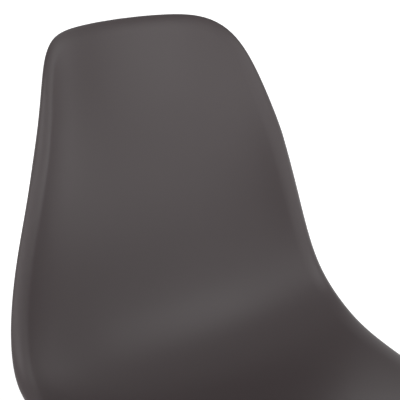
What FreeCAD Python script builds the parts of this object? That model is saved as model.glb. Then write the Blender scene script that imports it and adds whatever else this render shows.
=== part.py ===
"""Moulded plastic shell chair: a one-piece shell on four splayed wooden legs with a steel wire base.

Millimetres, +Z up, the sitter faces -Y, and the origin lies on the floor below the middle of the chair.
"""
import math
import os

import FreeCAD
import Part
import Sketcher
from FreeCAD import Placement, Rotation, Vector

SIZES = {
    # The shell's middle line, seen from the side: its start at the front edge and its turns.
    "front_edge_y": 215.0,
    "front_edge_height": 428.5,
    "seat_fall_angle": 6.09,
    "shell_run": 787.7,
    "seat_bend_at": 378.9,
    "seat_bend_radius": 116.7,
    "lumbar_angle": 87.87,
    "back_angle": 73.04,
    "back_lean_at": 687.1,
    "back_lean_half": 170.0,
    # Half widths of the shell inside its lip, from the front edge to the top of the back.
    "front_half_width": 188.7,
    "seat_half_width": 197.1,
    "hip_half_width": 216.9,
    "waist_half_width": 211.2,
    "back_half_width": 190.2,
    "shoulder_half_width": 157.2,
    "top_half_width": 124.5,
    # How far the sides stand forward of the middle line at the same places.
    "front_side_rise": 13.1,
    "seat_side_rise": 26.1,
    "hip_side_rise": 56.7,
    "waist_side_rise": 57.7,
    "back_side_rise": 49.8,
    "shoulder_side_rise": 46.6,
    "top_side_rise": 35.0,
    "side_rise_sharpness": 0.364,
    "top_corner_power": 7.1,
    "front_corner_power": 4.0,
    "top_arch": 11.3,
    # The wall and the rolled lip round its edge.
    "shell_wall": 5.0,
    "side_lip_reach": 15.8,
    "side_lip_angle": 77.3,
    "top_lip_reach": 11.6,
    "top_lip_angle": 50.2,
    "front_lip_reach": 24.0,
    "front_lip_angle": 72.0,
    "lip_edge_break": 0.8,
    "top_lip_blend": 140.0,
    "front_lip_blend": 150.0,
    # Bosses and ribs under the seat.
    "mount_x": 88.0,
    "mount_y": 82.0,
    "mount_drop": 41.2,
    "boss_radius": 19.0,
    "rib_thickness": 3.0,
    "rib_setback": 9.0,
    "insert_radius": 4.5,
    "insert_length": 12.0,
    "fit_gap": 0.05,
    # Rubber pads and the bent steel straps that carry the legs.
    "pad_radius": 17.0,
    "pad_thickness": 5.0,
    "strap_width": 36.0,
    "strap_thickness": 3.0,
    "strap_bend_radius": 4.0,
    "strap_tail": 42.0,
    # Wooden legs: where they stand, where they end and their turned form.
    "foot_x": 220.0,
    "foot_y": 240.0,
    "leg_top_drop": 11.0,
    "leg_top_run": 70.0,
    "leg_foot_radius": 11.0,
    "leg_radius": 15.0,
    "leg_taper_end": 178.0,
    "leg_top_bevel": 3.0,
    "leg_flat_depth": 11.5,
    "leg_spot_depth": 12.5,
    "leg_spot_radius": 7.0,
    "upper_bolt_drop": 34.0,
    "lower_bolt_at": 226.0,
    # Steel lugs low on the legs and the crossing wires.
    "lug_length": 16.0,
    "wire_radius": 3.0,
    "wire_side_step": 9.0,
    "wire_upper_drop": 22.0,
    "wire_spare": 14.0,
    # M6 screws and nuts.
    "screw_radius": 3.0,
    "screw_hole_radius": 3.3,
    "screw_head_radius": 5.25,
    "screw_head_height": 3.3,
    "hex_socket_width": 4.0,
    "hex_socket_depth": 2.0,
    "leg_screw_length": 34.0,
    "seat_screw_length": 18.0,
    "nut_width": 10.0,
    "nut_height": 5.0,
    # Plastic glides, each with a spigot that is pushed into its leg.
    "glide_radius": 11.6,
    "glide_height": 8.0,
    "spigot_radius": 3.0,
    "spigot_length": 16.0,
}

# How many samples the shell's surfaces and half its outline take.
ACROSS_COUNT = 7
ALONG_COUNT = 15
ROUND_COUNT = 30

doc = FreeCAD.newDocument("shell_chair")
sheet = doc.addObject("Spreadsheet::Sheet", "Sizes")
for row, (alias, number) in enumerate(SIZES.items(), start=1):
    sheet.set(f"A{row}", alias.replace("_", " "))
    sheet.set(f"B{row}", str(number))
    sheet.setAlias(f"B{row}", alias)
doc.recompute()

nodes = []


def size(alias):
    """The number that the sheet holds under this name."""
    return float(sheet.get(alias))


def bind(item, **cells):
    """Tie properties of an object to formulas of the sheet's cells."""
    for name, formula in cells.items():
        item.setExpression(name, formula)


def keep(item, label):
    """Give a finished sub-part its name and list it for export."""
    item.Label = label
    nodes.append(item)
    return item


def cylinder(name, place, radius, height):
    item = doc.addObject("Part::Cylinder", name)
    bind(item, Radius=radius, Height=height)
    item.Placement = place
    return item


def box(name, place, length, width, height):
    item = doc.addObject("Part::Box", name)
    bind(item, Length=length, Width=width, Height=height)
    item.Placement = place
    return item


def cut(name, base, tool):
    item = doc.addObject("Part::Cut", name)
    item.Base = base
    item.Tool = tool
    return item


def fuse(name, shapes):
    item = doc.addObject("Part::MultiFuse", name)
    item.Shapes = shapes
    item.Refine = True
    return item


def group(label, shapes):
    """Like fasteners that share one node, as separate solids."""
    item = doc.addObject("Part::Compound", label)
    item.Links = shapes
    return keep(item, label)


def ring(name, place, outer, inner, height):
    """A pad or insert: one cylinder less another."""
    body = cylinder(name + "_body", place, outer, height)
    bore = cylinder(name + "_bore", place, inner, height)
    return cut(name, body, bore)


# Frames of the base. Each leg stands in an upright plane through its mount and its foot.

LEGS = {
    "front_right": (1, -1),
    "rear_right": (1, 1),
    "rear_left": (-1, 1),
    "front_left": (-1, -1),
}
mount_to_foot = Vector(size("foot_x") - size("mount_x"), size("foot_y") - size("mount_y"), 0)
mount_height = size("front_edge_height") - size("mount_drop")
leg_top_height = mount_height - size("leg_top_drop")
leg_run = mount_to_foot.Length
leg_lean = math.atan2(leg_run - size("leg_top_run"), leg_top_height)
leg_length = leg_top_height / math.cos(leg_lean)
strap_top = mount_height - size("pad_thickness")
strap_back = size("leg_flat_depth") + size("strap_thickness")
upper_bolt_at = leg_length - size("upper_bolt_drop")
UP = Vector(0, 0, 1)
ALONG_X = Rotation(UP, Vector(1, 0, 0))
AGAINST_X = Rotation(UP, Vector(-1, 0, 0))


def shift(x=0.0, y=0.0, z=0.0, turn=None):
    return Placement(Vector(x, y, z), turn or Rotation())


def mount_frame(side):
    """Origin under a mount on the floor, X outwards in the plane of the leg."""
    x, y = LEGS[side]
    turn = math.degrees(math.atan2(y * mount_to_foot.y, x * mount_to_foot.x))
    return Placement(Vector(x * size("mount_x"), y * size("mount_y"), 0), Rotation(UP, turn))


def leg_frame(side):
    """Origin where a leg's axis meets the floor, Z up the leg, X square to it and outwards."""
    lean = Rotation(Vector(0, 1, 0), -math.degrees(leg_lean))
    return mount_frame(side) * Placement(Vector(leg_run, 0, 0), lean)


# The shell.


def swing(run, centre, half):
    """Rises smoothly from 0 to 1 over twice the half length round the centre."""
    part = max(-1.0, min(1.0, (run - centre) / half))
    return 0.5 * (1 + part + math.sin(math.pi * part) / math.pi)


def ease(part):
    part = max(0.0, min(1.0, part))
    return part * part * (3 - 2 * part)


def smooth_curve(places, heights):
    """The natural cubic curve through the given heights, straight beyond its ends."""
    count = len(places)
    gaps = [b - a for a, b in zip(places, places[1:])]
    slopes = [(b - a) / gap for a, b, gap in zip(heights, heights[1:], gaps)]
    diagonal = [1.0] * count
    bends = [0.0] * count
    for i in range(1, count - 1):
        factor = gaps[i - 1] / diagonal[i - 1] if i > 1 else 0.0
        diagonal[i] = 2 * (gaps[i - 1] + gaps[i]) - factor * gaps[i - 1]
        bends[i] = 6 * (slopes[i] - slopes[i - 1]) - factor * bends[i - 1]
    for i in range(count - 2, 0, -1):
        bends[i] = (bends[i] - gaps[i] * bends[i + 1]) / diagonal[i]

    def height_at(place):
        inside = max(places[0], min(places[-1], place))
        i = 0
        while i < count - 2 and inside > places[i + 1]:
            i += 1
        gap = gaps[i]
        low = (places[i + 1] - inside) / gap
        high = (inside - places[i]) / gap
        curved = ((low**3 - low) * bends[i] + (high**3 - high) * bends[i + 1]) * gap**2 / 6
        turned = ((1 - 3 * low**2) * bends[i] + (3 * high**2 - 1) * bends[i + 1]) * gap / 6
        value = low * heights[i] + high * heights[i + 1] + curved
        return value + (slopes[i] + turned) * (place - inside)

    return height_at


RUN = size("shell_run")
SHARES = (0.0, 0.2, 0.42, 0.56, 0.7, 0.84, 1.0)
ZONES = ("front", "seat", "hip", "waist", "back", "shoulder", "top")
stations = [share * RUN for share in SHARES]
half_width = smooth_curve(stations, [size(zone + "_half_width") for zone in ZONES])
side_rise = smooth_curve(stations, [size(zone + "_side_rise") for zone in ZONES])


def slope(run):
    """The angle of the middle line above the level, in radians."""
    turned = math.radians(size("lumbar_angle") + size("seat_fall_angle"))
    bend = swing(run, size("seat_bend_at"), size("seat_bend_radius") * turned)
    lean = swing(run, size("back_lean_at"), size("back_lean_half"))
    leaned = math.radians(size("back_angle") - size("lumbar_angle"))
    return turned * bend + leaned * lean - math.radians(size("seat_fall_angle"))


def middle_line(spare=40, step=1.0):
    """Points of the shell's middle line, a step apart, from a spare length before the front edge."""
    start = Vector(0, -size("front_edge_y"), size("front_edge_height"))
    point = start - Vector(0, math.cos(slope(0)), math.sin(slope(0))) * spare
    points = []
    for i in range(int((RUN + 2 * spare) / step) + 2):
        points.append(point)
        angle = slope((i + 0.5) * step - spare)
        point = point + Vector(0, math.cos(angle), math.sin(angle)) * step

    def point_at(run):
        place = max(0.0, min(len(points) - 1.001, (run + spare) / step))
        i = int(place)
        return points[i] + (points[i + 1] - points[i]) * (place - i)

    return point_at


middle = middle_line()


def face_point(x, run):
    """A point of the face that the sitter touches."""
    share = abs(x) / half_width(run)
    sharp = size("side_rise_sharpness")
    rise = side_rise(run) * ((1 - sharp) * share**2 + sharp * share**4)
    angle = slope(run)
    return Vector(x, 0, 0) + middle(run) + Vector(0, -math.sin(angle), math.cos(angle)) * rise


def face_normal(x, run, reach=0.5):
    """Square to the face there, towards the sitter."""
    across = face_point(x + reach, run) - face_point(x - reach, run)
    along = face_point(x, run + reach) - face_point(x, run - reach)
    return across.cross(along).normalize()


def face_surface(depth, first, last, spare=1.05):
    """The face between two runs as a smooth surface, moved back by a depth and a little wider than the shell."""
    rows = []
    for j in range(ALONG_COUNT + 1):
        run = first + (last - first) * j / ALONG_COUNT
        row = []
        for i in range(ACROSS_COUNT + 1):
            x = half_width(run) * spare * (2 * i / ACROSS_COUNT - 1)
            row.append(face_point(x, run) - face_normal(x, run) * depth)
        rows.append(row)
    surface = Part.BSplineSurface()
    surface.interpolate(rows)
    return surface


def outline_half(steps=300):
    """The shell's outline inside its lip, from the top of the back to the front edge, as (x, run)."""
    points = []
    corner = RUN - 0.98 * size("shoulder_half_width")
    power = 2 / size("top_corner_power")
    for i in range(steps + 1):
        angle = 0.5 * math.pi * (1 - i / steps)
        run = corner + (RUN - corner) * max(0.0, math.sin(angle)) ** power
        x = half_width(run) * max(0.0, math.cos(angle)) ** power
        share = (x / size("top_half_width")) ** 2 * (run - corner) / (RUN - corner)
        points.append((x, run - size("top_arch") * share))
    front = 0.9 * size("front_half_width")
    for i in range(1, steps + 1):
        run = corner + (front - corner) * i / steps
        points.append((half_width(run), run))
    power = 2 / size("front_corner_power")
    for i in range(1, steps + 1):
        angle = 0.5 * math.pi * i / steps
        run = front - front * max(0.0, math.sin(angle)) ** power
        points.append((half_width(run) * max(0.0, math.cos(angle)) ** power, run))
    return points


def outline_round():
    """Evenly spaced points of the whole outline, from the top down the right side and back up the left."""
    points = outline_half()
    lengths = [0.0]
    for a, b in zip(points, points[1:]):
        lengths.append(lengths[-1] + math.hypot(b[0] - a[0], b[1] - a[1]))
    right = []
    i = 0
    for k in range(ROUND_COUNT + 1):
        goal = lengths[-1] * k / ROUND_COUNT
        while i < len(points) - 2 and lengths[i + 1] < goal:
            i += 1
        part = (goal - lengths[i]) / (lengths[i + 1] - lengths[i])
        x = points[i][0] + (points[i + 1][0] - points[i][0]) * part
        run = points[i][1] + (points[i + 1][1] - points[i][1]) * part
        right.append((x, run))
    return right + [(-x, run) for x, run in right[-2:0:-1]]


def lip_section(before, here, after):
    """Corner and guide points of the lip's section at one place of the outline, as ten named rows."""
    x, run = here
    point = face_point(x, run)
    normal = face_normal(x, run)
    along = face_point(*after) - face_point(*before)
    along = (along - normal * along.dot(normal)).normalize()
    out = normal.cross(along)
    top = ease(1 - (RUN - run) / size("top_lip_blend"))
    front = ease(1 - run / size("front_lip_blend"))
    side = 1 - top - front
    reach = side * size("side_lip_reach") + top * size("top_lip_reach") + front * size("front_lip_reach")
    angle = side * size("side_lip_angle") + top * size("top_lip_angle") + front * size("front_lip_angle")
    angle = math.radians(angle)
    wall = size("shell_wall")
    edge = size("lip_edge_break")
    onwards = out * math.cos(angle) - normal * math.sin(angle)
    through = out * -math.sin(angle) - normal * math.cos(angle)
    bow = reach / (1 + math.cos(angle))
    tip = point + out * bow + onwards * bow
    back = point - normal * wall
    heel = tip + through * wall
    inner_bow = bow - wall * math.tan(0.5 * angle)
    guide = 0.6
    return (
        point,
        point + out * bow * guide,
        tip - onwards * bow * guide,
        tip - onwards * edge,
        tip + through * edge,
        heel - through * edge,
        heel - onwards * edge,
        heel - onwards * inner_bow * guide,
        back + out * inner_bow * guide,
        back,
    )


def lip_rows():
    """One closed curve round the shell for each row of the lip's section, all with the same knots."""
    points = outline_round()
    count = len(points)
    sections = []
    for k in range(count):
        sections.append(lip_section(points[k - 1], points[k], points[(k + 1) % count]))
    overlap = count // 15
    order = [k % count for k in range(-overlap, count + overlap + 1)]
    knots = [0.0]
    for a, b in zip(order, order[1:]):
        knots.append(knots[-1] + (sections[b][3] - sections[a][3]).Length)
    rows = []
    for line in zip(*sections):
        curve = Part.BSplineCurve()
        curve.interpolate(Points=[line[k] for k in order], Parameters=knots)
        rows.append(curve)
    ends = [knots[overlap], knots[overlap + count // 2], knots[overlap + count]]
    return rows, ends


def strip(rows, start, end):
    """A surface whose section is a straight line (two rows) or a curve (four rows)."""
    degree = len(rows) - 1
    poles = [list(line) for line in zip(*[row.getPoles() for row in rows])]
    surface = Part.BSplineSurface()
    surface.buildFromPolesMultsKnots(
        poles,
        rows[0].getMultiplicities(),
        [degree + 1, degree + 1],
        rows[0].getKnots(),
        [0.0, 1.0],
        False,
        False,
        3,
        degree,
    )
    surface.segment(start, end, 0.0, 1.0)
    return surface.toShape()


def trimmed(surface, row, ends):
    """The part of a surface inside one closed row of the lip."""
    edges = []
    for start, end in zip(ends, ends[1:]):
        piece = row.copy()
        piece.segment(start, end)
        edges.append(piece.toShape())
    face = Part.Face(surface, Part.Wire(edges))
    face.fix(0.01, 0.001, 0.1)
    return face


def shell_skin():
    """The shell with its lip as one closed solid."""
    rows, ends = lip_rows()
    spare = 10.0
    faces = [
        trimmed(face_surface(0.0, -spare, RUN + spare), rows[0], ends),
        trimmed(face_surface(size("shell_wall"), -spare, RUN + spare), rows[-1], ends),
    ]
    for start, end in zip(ends, ends[1:]):
        for used in ((0, 1, 2, 3), (3, 4), (4, 5), (5, 6), (6, 7, 8, 9)):
            faces.append(strip([rows[i] for i in used], start, end))
    skin = Part.makeShell(faces)
    skin.sewShape()
    return Part.makeSolid(skin.Shells[0] if skin.Shells else skin)


def seat_supports():
    """Bosses and ribs under the seat, up to the middle of the wall."""
    tall = 4 * size("mount_drop")
    x, y = size("mount_x"), size("mount_y")
    thick = size("rib_thickness")
    solids = []
    for side in LEGS:
        place = mount_frame(side).Base + UP * mount_height
        solids.append(Part.makeCylinder(size("boss_radius"), tall, place))
    lowest = mount_height + size("rib_setback")
    for sign in (-1, 1):
        solids.append(Part.makeBox(2 * x, thick, tall, Vector(-x, sign * y - thick / 2, lowest)))
        solids.append(Part.makeBox(thick, 2 * y, tall, Vector(sign * x - thick / 2, -y, lowest)))
    under = face_surface(0.5 * size("shell_wall"), 0.02 * RUN, 0.54 * RUN).toShape().extrude(UP * -tall)
    return solids[0].multiFuse(solids[1:]).common(under)


def make_shell():
    solid = shell_skin().fuse(seat_supports())
    for side in LEGS:
        place = mount_frame(side).Base + UP * mount_height
        bore = Part.makeCylinder(size("insert_radius"), size("insert_length"), place)
        solid = solid.cut(bore)
    item = doc.addObject("Part::Feature", "seat_shell")
    item.Shape = solid.Solids[0] if len(solid.Solids) == 1 else solid
    keep(item, "seat_shell")


# The base.


def make_inserts():
    inserts = []
    for side in LEGS:
        place = mount_frame(side) * shift(z=mount_height)
        outer = "Sizes.insert_radius - Sizes.fit_gap"
        bore = "Sizes.screw_radius + Sizes.fit_gap"
        inserts.append(ring("insert_" + side, place, outer, bore, "Sizes.insert_length"))
    group("threaded_inserts", inserts)


def make_pads():
    pads = []
    for side in LEGS:
        place = mount_frame(side) * shift(z=strap_top)
        bore, thick = "Sizes.screw_hole_radius", "Sizes.pad_thickness"
        pads.append(ring("pad_" + side, place, "Sizes.pad_radius", bore, thick))
    group("mount_pads", pads)


def bend_centre():
    """Where the strap's bend turns, in the mount's frame, and how far up the leg that is."""
    sine, cosine = math.sin(leg_lean), math.cos(leg_lean)
    inwards = strap_back + size("strap_bend_radius")
    height = strap_top - size("strap_thickness") - size("strap_bend_radius")
    up_leg = (height + inwards * sine) / cosine
    return Vector(leg_run - inwards * cosine - up_leg * sine, 0, height), up_leg


def make_bracket(side):
    """A flat strap, round at both ends, bent down along the leg."""
    name = "leg_bracket_" + side
    mount, leg = mount_frame(side), leg_frame(side)
    centre, bend_up = bend_centre()
    half = 0.5 * size("strap_width")
    low = strap_top - size("strap_thickness")
    thick, radius = "Sizes.strap_thickness", "Sizes.strap_bend_radius"
    eye = cylinder(name + "_eye", mount * shift(z=low), "Sizes.strap_width / 2", thick)
    top = box(name + "_top", mount * shift(y=-half, z=low), "1 mm", "Sizes.strap_width", thick)
    bind(top, Length=f"{centre.x} mm")
    turn = Rotation(
        Vector(math.cos(leg_lean), 0, math.sin(leg_lean)),
        Vector(-math.sin(leg_lean), 0, math.cos(leg_lean)),
        Vector(0, -1, 0),
        "XYZ",
    )
    place = mount * Placement(centre + Vector(0, half, 0), turn)
    outer = cylinder(name + "_bend_outer", place, f"{radius} + {thick}", "Sizes.strap_width")
    inner = cylinder(name + "_bend_inner", place, radius, "Sizes.strap_width")
    outer.Angle = 90 - math.degrees(leg_lean)
    bend = cut(name + "_bend", outer, inner)
    tail = upper_bolt_at - size("strap_tail")
    tail_eye = cylinder(
        name + "_tail_eye",
        leg * shift(x=-strap_back, z=tail + half, turn=ALONG_X),
        "Sizes.strap_width / 2",
        thick,
    )
    flank = box(
        name + "_flank",
        leg * shift(x=-strap_back, y=-half, z=tail + half),
        thick,
        "Sizes.strap_width",
        f"{bend_up - tail - half} mm",
    )
    whole = fuse(name + "_blank", [eye, top, bend, flank, tail_eye])
    seat_hole = cylinder(name + "_seat_hole", mount * shift(z=low), "Sizes.screw_hole_radius", thick)
    leg_hole = cylinder(
        name + "_leg_hole",
        leg * shift(x=-strap_back, z=upper_bolt_at, turn=ALONG_X),
        "Sizes.screw_hole_radius",
        thick,
    )
    drilled = cut(name + "_drilled", whole, seat_hole)
    keep(cut(name, drilled, leg_hole), name)


def lug(side):
    """A round-ended plate that carries the lower ends of two wires."""
    name = "lug_" + side
    leg = leg_frame(side)
    half = 0.5 * size("strap_width")
    low = size("lower_bolt_at") - size("lug_length")
    thick = "Sizes.strap_thickness"
    ends = []
    for label, height in (("_lower", low), ("_upper", size("lower_bolt_at"))):
        place = leg * shift(x=-strap_back, z=height, turn=ALONG_X)
        ends.append(cylinder(name + label, place, "Sizes.strap_width / 2", thick))
    plate = box(
        name + "_plate",
        leg * shift(x=-strap_back, y=-half, z=low),
        thick,
        "Sizes.strap_width",
        "Sizes.lug_length",
    )
    blank = fuse(name + "_blank", ends + [plate])
    hole = cylinder(
        name + "_hole",
        leg * shift(x=-strap_back, z=size("lower_bolt_at"), turn=ALONG_X),
        "Sizes.screw_hole_radius",
        thick,
    )
    return cut(name, blank, hole)


def wire_end(side, at, step):
    """The middle of a wire's end on the inner face of a bracket or lug."""
    return leg_frame(side).multVec(Vector(-strap_back, step, at))


def make_wire(name, lower_side, upper_side, inwards):
    """A straight wire from one leg's lug to the next leg's bracket, cut flush with both plates."""
    low_at = size("lower_bolt_at") - size("lug_length")
    high_at = upper_bolt_at - size("wire_upper_drop")
    step = size("wire_side_step")
    toward = leg_frame(upper_side).Base - leg_frame(lower_side).Base
    across = leg_frame(lower_side).Rotation.multVec(Vector(0, 1, 0))
    sign = 1 if across.dot(toward) > 0 else -1
    low = wire_end(lower_side, low_at, sign * step)
    high = wire_end(upper_side, high_at, -sign * step)
    middle_xy = (leg_frame(lower_side).Base + leg_frame(upper_side).Base) * 0.5
    outside = middle_xy.normalize()
    moved = outside * (-inwards * (size("wire_radius") + size("fit_gap")))
    direction = (high - low).normalize()
    start = low + moved - direction * size("wire_spare")
    length = (high - low).Length + 2 * size("wire_spare")
    place = Placement(start, Rotation(UP, direction))
    wire = cylinder(name + "_rod", place, "Sizes.wire_radius", f"{length} mm")
    for side, at in ((lower_side, low_at), (upper_side, high_at)):
        room = leg_frame(side) * shift(x=-strap_back, y=-40, z=at - 40)
        tool = box(name + "_end_" + side, room, "40 mm", "80 mm", "80 mm")
        wire = cut(name + "_cut_" + side, wire, tool)
    keep(wire, name)


def make_wires():
    order = list(LEGS)
    faces = ("right", "rear", "left", "front")
    for i, face in enumerate(faces):
        first, second = order[i], order[(i + 1) % 4]
        make_wire(f"wire_{face}_outer", first, second, -1)
        make_wire(f"wire_{face}_inner", second, first, 1)


def sketch_on(body, role, name):
    plane = [item for item in body.Origin.OriginFeatures if item.Role == role][0]
    sketch = body.newObject("Sketcher::SketchObject", name)
    sketch.AttachmentSupport = (plane, [""])
    sketch.MapMode = "FlatFace"
    return sketch


def draw_outline(sketch, corners):
    """A closed outline of straight lines, each corner held by formulas of the sheet for x and y."""
    points = []
    for across, up in corners:
        x = float(sketch.evalExpression(across))
        y = float(sketch.evalExpression(up))
        points.append(Vector(x, y, 0))
    count = len(points)
    for i in range(count):
        sketch.addGeometry(Part.LineSegment(points[i], points[(i + 1) % count]), False)
    for i in range(count):
        sketch.addConstraint(Sketcher.Constraint("Coincident", i, 2, (i + 1) % count, 1))
    for i, (across, up) in enumerate(corners):
        for kind, formula, number in (("DistanceX", across, points[i].x), ("DistanceY", up, points[i].y)):
            at = sketch.addConstraint(Sketcher.Constraint(kind, -1, 1, i, 1, number))
            sketch.setExpression(f"Constraints[{at}]", formula)


def make_leg(side):
    """A turned, tapered leg with flats for the steel, two bolt holes, spot faces and a bore for its glide."""
    name = "leg_" + side
    body = doc.addObject("PartDesign::Body", name)
    length = f"{leg_length}"
    profile = sketch_on(body, "XZ_Plane", name + "_profile")
    bore_end = "Sizes.glide_height + Sizes.spigot_length + 1"
    draw_outline(
        profile,
        [
            ("Sizes.spigot_radius + Sizes.fit_gap", "Sizes.glide_height"),
            ("Sizes.leg_foot_radius", "Sizes.glide_height"),
            ("Sizes.leg_radius", "Sizes.leg_taper_end"),
            ("Sizes.leg_radius", f"{length} - Sizes.leg_top_bevel"),
            ("Sizes.leg_radius - Sizes.leg_top_bevel", length),
            ("0", length),
            ("0", bore_end),
            ("Sizes.spigot_radius + Sizes.fit_gap", bore_end),
        ],
    )
    turned = body.newObject("PartDesign::Revolution", name + "_turned")
    turned.Profile = profile
    turned.ReferenceAxis = (profile, ["V_Axis"])
    turned.Angle = 360
    spans = (
        ("upper", f"{upper_bolt_at} - Sizes.strap_tail - 1", f"{length} + 1"),
        (
            "lower",
            "Sizes.lower_bolt_at - Sizes.lug_length - Sizes.strap_width / 2 - 1",
            "Sizes.lower_bolt_at + Sizes.strap_width / 2 + 1",
        ),
    )
    for span, low, high in spans:
        flat = sketch_on(body, "XZ_Plane", f"{name}_{span}_flat")
        draw_outline(
            flat,
            [
                ("-Sizes.leg_flat_depth", low),
                ("-Sizes.leg_flat_depth", high),
                ("-2 * Sizes.leg_flat_depth", high),
                ("-2 * Sizes.leg_flat_depth", low),
            ],
        )
        pocket = body.newObject("PartDesign::Pocket", f"{name}_{span}_pocket")
        pocket.Profile = flat
        pocket.Type = "Length"
        bind(pocket, Length="4 * Sizes.leg_radius")
        pocket.Midplane = True
    for span, height in (("upper", f"{upper_bolt_at}"), ("lower", "Sizes.lower_bolt_at")):
        for kind, radius in (("hole", "Sizes.screw_hole_radius"), ("spot", "Sizes.leg_spot_radius")):
            circle = sketch_on(body, "YZ_Plane", f"{name}_{span}_{kind}")
            middle_at = float(circle.evalExpression(height))
            wide = float(circle.evalExpression(radius))
            circle.addGeometry(Part.Circle(Vector(0, middle_at, 0), UP, wide), False)
            at = circle.addConstraint(Sketcher.Constraint("Radius", 0, wide))
            circle.setExpression(f"Constraints[{at}]", radius)
            circle.addConstraint(Sketcher.Constraint("PointOnObject", 0, 3, -2))
            at = circle.addConstraint(Sketcher.Constraint("DistanceY", -1, 1, 0, 3, middle_at))
            circle.setExpression(f"Constraints[{at}]", height)
            pocket = body.newObject("PartDesign::Pocket", f"{name}_{span}_{kind}_pocket")
            pocket.Profile = circle
            pocket.Type = "Length"
            bind(pocket, Length="4 * Sizes.leg_radius")
            if kind == "hole":
                pocket.Midplane = True
            else:
                circle.AttachmentOffset = shift(z=size("leg_spot_depth"))
                pocket.Reversed = True
    body.Placement = leg_frame(side)
    keep(body, name)


def screw(name, place, length):
    """A button-head screw with a hex socket: its head rises along Z and its shank runs back along -Z."""
    head = cylinder(name + "_head", place, "Sizes.screw_head_radius", "Sizes.screw_head_height")
    shank_place = place * shift(z=-size(length))
    shank = cylinder(name + "_shank", shank_place, "Sizes.screw_radius", "Sizes." + length)
    socket = doc.addObject("Part::Prism", name + "_socket")
    socket.Polygon = 6
    bind(socket, Circumradius="Sizes.hex_socket_width / sqrt(3)", Height="Sizes.hex_socket_depth")
    top = size("screw_head_height") - size("hex_socket_depth")
    socket.Placement = place * shift(z=top)
    return cut(name, fuse(name + "_blank", [head, shank]), socket)


def nut(name, place):
    body = doc.addObject("Part::Prism", name + "_body")
    body.Polygon = 6
    bind(body, Circumradius="Sizes.nut_width / sqrt(3)", Height="Sizes.nut_height")
    body.Placement = place
    bore = cylinder(name + "_bore", place, "Sizes.screw_radius + Sizes.fit_gap", "Sizes.nut_height")
    return cut(name, body, bore)


def make_fasteners():
    heights = {"upper": upper_bolt_at, "lower": size("lower_bolt_at")}
    nuts = []
    for span, height in heights.items():
        screws = []
        for side in LEGS:
            label = f"{span}_{side}"
            outside = leg_frame(side) * shift(x=size("leg_spot_depth"), z=height, turn=ALONG_X)
            screws.append(screw("screw_" + label, outside, "leg_screw_length"))
            inside = leg_frame(side) * shift(x=-strap_back, z=height, turn=AGAINST_X)
            nuts.append(nut("nut_" + label, inside))
        group(span + "_leg_screws", screws)
    group("leg_nuts", nuts)
    downwards = Rotation(Vector(1, 0, 0), 180)
    seat_screws = []
    for side in LEGS:
        under = mount_frame(side) * shift(z=strap_top - size("strap_thickness"), turn=downwards)
        seat_screws.append(screw("seat_screw_" + side, under, "seat_screw_length"))
    group("seat_screws", seat_screws)


def glide(side):
    """A plastic foot whose sole is cut level with the floor, with a spigot up into the leg."""
    name = "glide_" + side
    leg = leg_frame(side)
    reach = 8.0
    body = cylinder(
        name + "_body", leg * shift(z=-reach), "Sizes.glide_radius", f"Sizes.glide_height + {reach}"
    )
    spigot = cylinder(
        name + "_spigot", leg, "Sizes.spigot_radius", "Sizes.glide_height + Sizes.spigot_length"
    )
    floor_place = Placement(leg.Base + Vector(-30, -30, -30), Rotation())
    floor = box(name + "_floor", floor_place, "60 mm", "60 mm", "30 mm")
    return cut(name, fuse(name + "_blank", [body, spigot]), floor)


def export():
    """Check every object and write each sub-part to its own file."""
    doc.recompute()
    for item in doc.Objects:
        if "Invalid" in item.State or "Error" in item.State:
            raise RuntimeError(f"{item.Name} failed: {item.State}")
    os.makedirs("parts", exist_ok=True)
    for item in nodes:
        shape = item.Shape
        if shape.isNull() or not shape.isValid() or not shape.Solids:
            raise RuntimeError(f"{item.Label} has no valid shape")
        shape.exportStep(os.path.join("parts", item.Label + ".step"))
        print(f"{item.Label}: {len(shape.Solids)} solid(s), {shape.Volume / 1000:.2f} cm3")


make_shell()
make_inserts()
make_pads()
for leg_side in LEGS:
    make_bracket(leg_side)
    make_leg(leg_side)
group("leg_lugs", [lug(leg_side) for leg_side in LEGS])
group("leg_glides", [glide(leg_side) for leg_side in LEGS])
make_wires()
make_fasteners()
export()
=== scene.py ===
"""A moulded plastic shell chair on turned beech legs, finished for rendering over its CAD frame.

Metres, +Z up, the sitter faces -Y. The sizes in the property groups repeat the CAD model's.
"""
import math

import bmesh
import bpy
from bpy.props import FloatProperty, FloatVectorProperty, IntProperty, PointerProperty
from mathutils import Matrix, Vector


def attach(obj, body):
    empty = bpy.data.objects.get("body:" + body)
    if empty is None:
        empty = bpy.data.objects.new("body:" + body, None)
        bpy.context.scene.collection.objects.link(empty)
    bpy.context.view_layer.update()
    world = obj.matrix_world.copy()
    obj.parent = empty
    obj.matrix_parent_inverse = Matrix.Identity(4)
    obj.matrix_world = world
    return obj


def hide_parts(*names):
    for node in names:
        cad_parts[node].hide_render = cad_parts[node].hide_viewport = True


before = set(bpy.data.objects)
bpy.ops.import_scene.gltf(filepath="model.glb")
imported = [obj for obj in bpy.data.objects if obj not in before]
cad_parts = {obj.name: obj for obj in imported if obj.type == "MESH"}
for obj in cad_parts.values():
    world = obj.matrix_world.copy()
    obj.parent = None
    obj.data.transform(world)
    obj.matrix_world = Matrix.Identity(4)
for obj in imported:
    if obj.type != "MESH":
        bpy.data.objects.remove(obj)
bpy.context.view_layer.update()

bl_info = {
    "name": "Moulded Shell Chair",
    "version": (1, 0, 0),
    "blender": (4, 5, 0),
    "location": "3D View > Sidebar > Chair",
    "description": "Builds a plastic shell chair with beech legs and a steel wire base",
    "category": "Object",
}

MM = 0.001
UP = Vector((0, 0, 1))
# Which way each leg stands from the middle of the chair, in x and y.
SIDES = {
    "front_right": (1, -1),
    "rear_right": (1, 1),
    "rear_left": (-1, 1),
    "front_left": (-1, -1),
}


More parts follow.
